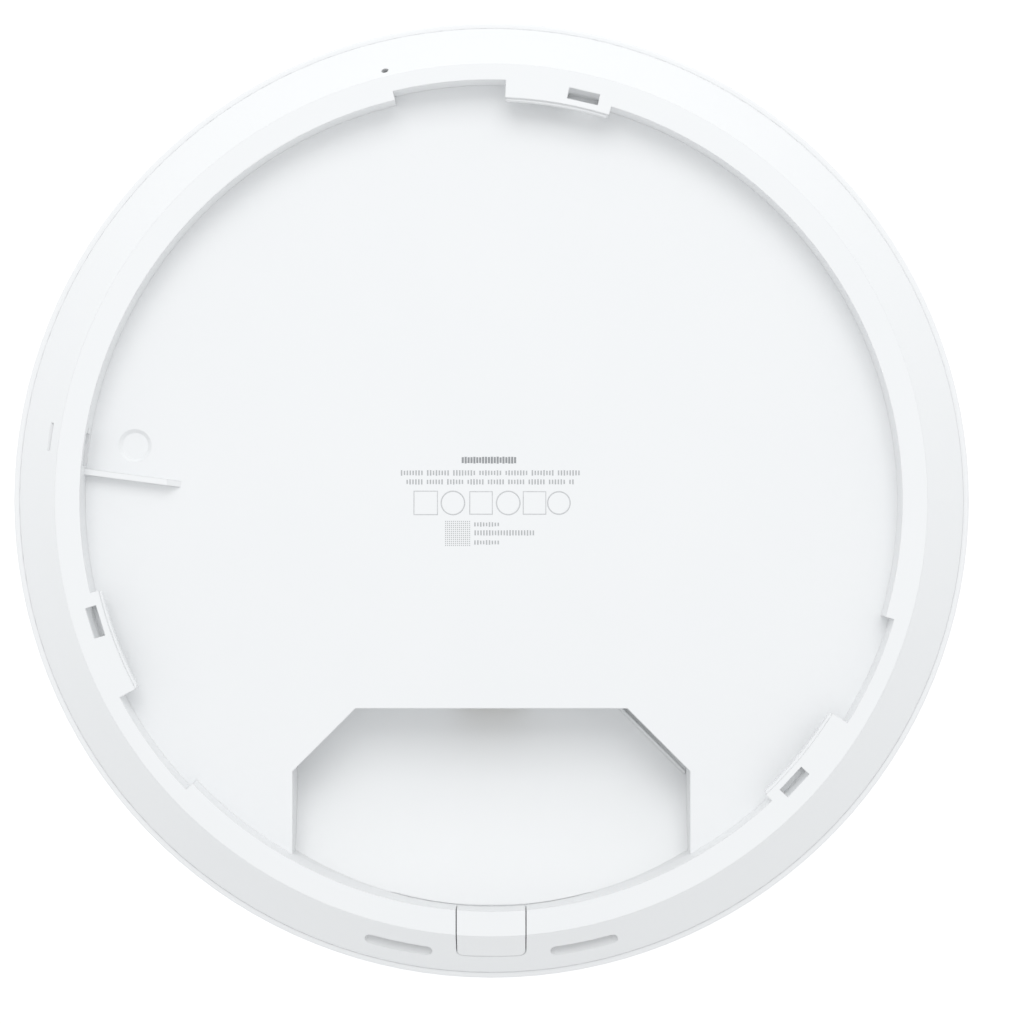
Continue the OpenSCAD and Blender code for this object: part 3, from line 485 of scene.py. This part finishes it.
class Recipe(Net):
    """A Geometry Nodes tree with named inputs, and the way to turn its result into a plain mesh."""

    def __init__(self, name, **inputs):
        super().__init__(bpy.data.node_groups.new(name, "GeometryNodeTree"))
        self.values = inputs
        for label, value in inputs.items():
            kind = next(word for known, word in SOCKETS.items() if isinstance(value, known))
            self.tree.interface.new_socket(label, in_out="INPUT", socket_type=kind)
        self.tree.interface.new_socket("Geometry", in_out="OUTPUT", socket_type="NodeSocketGeometry")
        self.given = self.node("NodeGroupInput")

    def ask(self, label):
        return self.given.output(label)

    def vector(self, x=0.0, y=0.0, z=0.0):
        return self.node("ShaderNodeCombineXYZ", {}, {0: x, 1: y, 2: z})

    def oblong(self, width, height):
        """A rectangle as a closed curve."""
        sides = {"Width": width, "Height": height}
        return self.node("GeometryNodeCurvePrimitiveQuadrilateral", {"mode": "RECTANGLE"}, sides)

    def move(self, geometry, place, turn=(0, 0, 0)):
        return self.node(
            "GeometryNodeTransform", {}, {"Geometry": geometry, "Translation": place, "Rotation": turn}
        )

    def copies(self, points, piece, **extra):
        sockets = {"Points": points, "Instance": piece}
        sockets.update({key.capitalize(): value for key, value in extra.items()})
        return self.node("GeometryNodeInstanceOnPoints", {}, sockets)

    def join(self, parts):
        joined = self.tree.nodes.new("GeometryNodeJoinGeometry")
        for part in parts:
            self.tree.links.new(part.socket, joined.inputs[0])
        return Wire(self, joined.outputs[0])

    def painted(self, geometry, material):
        solid = self.node("GeometryNodeRealizeInstances", {}, {0: geometry})
        return self.node("GeometryNodeSetMaterial", {}, {"Geometry": solid, "Material": material})

    def make(self, name, geometry, points=None):
        """Ends the tree, runs it once and keeps the result as a plain mesh object."""
        self.node("NodeGroupOutput", {}, {0: geometry})
        holder = bpy.data.objects.new(name + "_recipe", points or bpy.data.meshes.new(name + "_recipe"))
        scene.collection.objects.link(holder)
        modifier = holder.modifiers.new("recipe", "NODES")
        modifier.node_group = self.tree
        for item in self.tree.interface.items_tree:
            if item.in_out == "INPUT" and item.name in self.values:
                modifier[item.identifier] = self.values[item.name]
        bpy.context.view_layer.update()
        result = holder.evaluated_get(bpy.context.evaluated_depsgraph_get())
        mesh = bpy.data.meshes.new_from_object(result)
        holder.modifiers.clear()
        bpy.data.objects.remove(holder)
        piece = bpy.data.objects.new(name, mesh)
        scene.collection.objects.link(piece)
        print(name, "has", len(mesh.polygons), "faces and", len(mesh.materials), "materials")
        return piece


print("recipes can be written")

# %% Print the block
PRINT_Z = -6.5 * MM
ROWS = [  # middle x, middle y, length, height, share of each pitch that is inked, dashes to a word, ink
    (0.0, 8.56, 12.2, 1.55, 0.72, 40, "dark"),
    (0.1, 5.84, 38.5, 1.2, 0.5, 9, "grey"),
    (0.05, 3.92, 36.0, 1.2, 0.5, 7, "grey"),
    (-0.6, -5.15, 5.8, 1.0, 0.5, 40, "grey"),
    (3.1, -6.95, 13.1, 1.2, 0.5, 40, "grey"),
    (-0.6, -9.0, 5.8, 1.0, 0.5, 40, "grey"),
]
MARKS = [(-14.0, 5.0), (-8.2, 5.0), (-2.2, 4.8), (3.6, 5.0), (9.2, 4.8), (14.4, 4.8)]
MARK_Y = -0.56
CODE_PLACE = (-7.2, -7.06)
CODE_SIDE = 5.1

block = Recipe(
    "printed_block",
    Pitch=0.62 * MM,
    Film=0.015 * MM,
    Stroke=0.26 * MM,
    Dots=13,
    Seed=7,
    Dark=inks["dark"],
    Grey=inks["grey"],
    Pale=inks["pale"],
)
film = block.ask("Film")
pitch = block.ask("Pitch")
parts = []
for row, (x, y, length, height, inked, word, ink) in enumerate(ROWS):
    dash = block.node(
        "GeometryNodeMeshCube", {}, {"Size": block.vector(pitch * inked, height * MM, film)}
    )
    line = block.node(
        "GeometryNodeMeshLine",
        {"mode": "OFFSET", "count_mode": "TOTAL"},
        {
            "Count": length * MM / pitch,
            "Start Location": block.vector((x - length / 2) * MM, y * MM, film / 2 + PRINT_Z),
            "Offset": block.vector(pitch),
        },
    )
    count = block.node("GeometryNodeInputIndex") + 1
    kept = count.sum("MODULO", count, word) > 0.5
    tall = block.node(
        "FunctionNodeRandomValue",
        {"data_type": "FLOAT"},
        {2: 0.72, 3: 1.0, "Seed": block.ask("Seed") + row + 50},
        out=1,
    )
    dashes = block.copies(line, dash, selection=kept, scale=block.vector(1.0, tall, 1.0))
    parts.append(block.painted(dashes, block.ask(ink.capitalize())))

profile = block.oblong(block.ask("Stroke"), film)
for number, (x, size) in enumerate(MARKS):
    if number % 2:
        circle = {"Resolution": 40, "Radius": size * MM / 2}
        outline = block.node("GeometryNodeCurvePrimitiveCircle", {}, circle)
    else:
        outline = block.oblong(size * MM, size * MM)
    drawn = block.node("GeometryNodeCurveToMesh", {}, {0: outline, 1: profile})
    placed = block.move(drawn, block.vector(x * MM, MARK_Y * MM, film / 2 + PRINT_Z))
    parts.append(block.painted(placed, block.ask("Pale")))

dot = block.node("GeometryNodeMeshCube", {}, {"Size": block.vector(0.22 * MM, 0.22 * MM, film)})
grid = block.node(
    "GeometryNodeMeshGrid",
    {},
    {
        "Size X": CODE_SIDE * MM,
        "Size Y": CODE_SIDE * MM,
        "Vertices X": block.ask("Dots"),
        "Vertices Y": block.ask("Dots"),
    },
)
code = block.move(
    block.copies(grid, dot), block.vector(CODE_PLACE[0] * MM, CODE_PLACE[1] * MM, film / 2 + PRINT_Z)
)
parts.append(block.painted(code, block.ask("Grey")))
printed_block = block.make("printed_block", block.join(parts))
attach(printed_block, "housing")

# %% [markdown]
# ## Small parts on the circuit board
# A real board carries rows of chip parts, each a ceramic block between two tinned ends, and the network
# transformer stands on bent legs. Both repeat on a fixed pitch, so they are Geometry Nodes recipes too. The
# first puts one chip part on every point of a grid and lets a fixed seed leave some places empty, as boards
# do. The second sweeps a small strip along an S-shaped curve and repeats it down both sides of the
# transformer.
# %% Two banks of chip parts
BANK_PLACE = (15.5, -25)
END_X = 0.68
SOLDER = 0.01 * MM
board_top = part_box("main_board")[1].z
chips = Recipe(
    "chip_parts",
    Columns=3,
    Rows=8,
    Pitch=2.8 * MM,
    Filled=0.86,
    Seed=11,
    Body=filled_plastic("chip_ceramic", (0.36, 0.25, 0.15), (0.44, 0.32, 0.21), 0.15 * MM, 0.45, 0.002 * MM),
    Ends=finishes["tin_steel"],
)
pitch = chips.ask("Pitch")


def rounded_block(recipe, length, width, height, x=0.0):
    """A block with softened edges, standing on the level z = 0."""
    corners = {0: recipe.oblong(length * MM, width * MM), "Count": 3, "Radius": 0.12 * MM}
    soft = recipe.node("GeometryNodeFilletCurve", {"mode": "POLY"}, corners)
    face = recipe.node("GeometryNodeFillCurve", {}, {0: soft})
    solid = recipe.node("GeometryNodeExtrudeMesh", {}, {0: face, "Offset Scale": height * MM})
    closed = recipe.join([solid, recipe.node("GeometryNodeFlipFaces", {}, {0: face})])
    welded = recipe.node("GeometryNodeMergeByDistance", {}, {0: closed, "Distance": 0.001 * MM})
    return recipe.move(welded, recipe.vector(x * MM, 0.0, 0.0))


chip_pieces = [chips.painted(rounded_block(chips, 1.1, 0.78, 0.5), chips.ask("Body"))]
for x in (-END_X, END_X):
    end = rounded_block(chips, 0.34, 0.84, 0.55, x)
    chip_pieces.append(chips.painted(end, chips.ask("Ends")))
chip_part = chips.join(chip_pieces)
grid = chips.node(
    "GeometryNodeMeshGrid",
    {},
    {
        "Size X": pitch * (chips.ask("Columns") - 1),
        "Size Y": pitch * (chips.ask("Rows") - 1),
        "Vertices X": chips.ask("Columns"),
        "Vertices Y": chips.ask("Rows"),
    },
)
filled = chips.node(
    "FunctionNodeRandomValue",
    {"data_type": "BOOLEAN"},
    {"Probability": chips.ask("Filled"), "Seed": chips.ask("Seed")},
    out=3,
)
stood = chips.copies(grid, chip_part, selection=filled)
bank = chips.node("GeometryNodeRealizeInstances", {}, {0: stood})
banks = []
for x in (-BANK_PLACE[0], BANK_PLACE[0]):
    place = chips.vector(x * MM, BANK_PLACE[1] * MM, board_top + SOLDER)
    banks.append(chips.move(bank, place))
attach(chips.make("chip_parts", chips.join(banks)), "housing")

# %% Legs of the network transformer
magnetics_low, magnetics_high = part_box("lan_magnetics")
LEG_TOP = board_top + 2.2 * MM
LEG_FOOT = board_top + 0.1 * MM
legs = Recipe(
    "magnetics_legs", Pitch=1.1 * MM, Legs=8, Width=0.42 * MM, Strip=0.16 * MM, Metal=finishes["tin_steel"]
)
side = magnetics_high.x - 0.1 * MM
both_y = magnetics_low.y + magnetics_high.y
bend = legs.node(
    "GeometryNodeCurvePrimitiveBezierSegment",
    {"mode": "POSITION"},
    {
        "Resolution": 14,
        "Start": legs.vector(side, 0.0, LEG_TOP),
        "Start Handle": legs.vector(side + 1.3 * MM, 0.0, LEG_TOP),
        "End Handle": legs.vector(side + 0.5 * MM, 0.0, LEG_FOOT),
        "End": legs.vector(side + 1.8 * MM, 0.0, LEG_FOOT),
    },
)
strip = legs.oblong(legs.ask("Width"), legs.ask("Strip"))
leg = legs.node("GeometryNodeCurveToMesh", {}, {0: bend, 1: strip, "Fill Caps": True})
row = legs.node(
    "GeometryNodeMeshLine",
    {"mode": "OFFSET", "count_mode": "TOTAL"},
    {
        "Count": legs.ask("Legs"),
        "Start Location": legs.vector(0.0, both_y / 2 - 3.5 * legs.ask("Pitch")),
        "Offset": legs.vector(0.0, legs.ask("Pitch")),
    },
)
one_side = legs.painted(legs.copies(row, leg), legs.ask("Metal"))
other_side = legs.move(one_side, legs.vector(0.0, both_y, 0.0), (0, 0, math.pi))
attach(legs.make("magnetics_legs", legs.join([one_side, other_side])), "housing")

# %% [markdown]
# ## The studio
# White on white shows its shape only by small steps of grey, so most of the light is broad. The sky is a
# little brighter near the horizon than overhead, which keeps the flanks light. One large soft box stands
# high behind the far edge. It makes surfaces that face it lighter and throws a wide soft shadow below the
# near walls, which is what tells the depth of the recess and of the bay. The floor is plain and pale and
# lies well below the object, because the object hangs from a ceiling. It also lights the front from below.
# %% Sky, soft box and floor
OVERHEAD = (0.835, 0.846, 0.854, 1)
HORIZON = (0.91, 0.92, 0.925, 1)
world = bpy.data.worlds.new("white_sky")
world.use_nodes = True
sky = Net(world.node_tree)
height = sky.node("ShaderNodeSeparateXYZ", {}, {0: sky.node("ShaderNodeTexCoord", out="Generated")}, out="Z")
rise = sky.node("ShaderNodeMapRange", {"interpolation_type": "SMOOTHSTEP"}, {0: height, 1: 0.05, 2: 0.4})
sky_colour = sky.node("ShaderNodeMix", {"data_type": "RGBA"}, {0: rise, 6: HORIZON, 7: OVERHEAD}, out=2)
sky.feed(world.node_tree.nodes["Background"].inputs["Color"], sky_colour)
scene.world = world
scene.view_settings.view_transform = "Standard"


def soft_box(name, place, aim, width, height, power):
    """A rectangular lamp at place that faces aim."""
    lamp = bpy.data.lights.new(name, "AREA")
    lamp.shape = "RECTANGLE"
    lamp.size = width
    lamp.size_y = height
    lamp.energy = power
    holder = bpy.data.objects.new(name, lamp)
    holder.location = place
    holder.rotation_euler = (Vector(aim) - Vector(place)).to_track_quat("-Z", "Y").to_euler()
    scene.collection.objects.link(holder)
    return holder


soft_box("far_soft_box", (0.0, 1.09, 1.4), (0, 0, 0), 1.4, 1.1, 10.5)


def studio_floor(height, side):
    """A large flat sheet. It is stage, so it isn't part of the object."""
    sheet = bpy.data.meshes.new("studio_floor")
    corners = [(x * side / 2, y * side / 2, height) for x, y in ((-1, -1), (1, -1), (1, 1), (-1, 1))]
    sheet.from_pydata(corners, [], [(0, 1, 2, 3)])
    floor = bpy.data.objects.new("studio_floor", sheet)
    scene.collection.objects.link(floor)
    material, net = new_finish("pale_paper")
    fibre = net.noise(4 * MM, detail=4.0)
    paper = net.tint(fibre, (0.97, 0.97, 0.97), (0.985, 0.985, 0.985))
    glow = (1.0, 1.0, 1.0, 1)
    net.surface(
        Base_Color=paper, Roughness=0.9, Specular_IOR_Level=0.0, Emission_Color=glow, Emission_Strength=0.14
    )
    sheet.materials.append(material)
    return floor


floor = studio_floor(-0.9, 12.0)
print("floor at", floor.data.vertices[0].co.z)
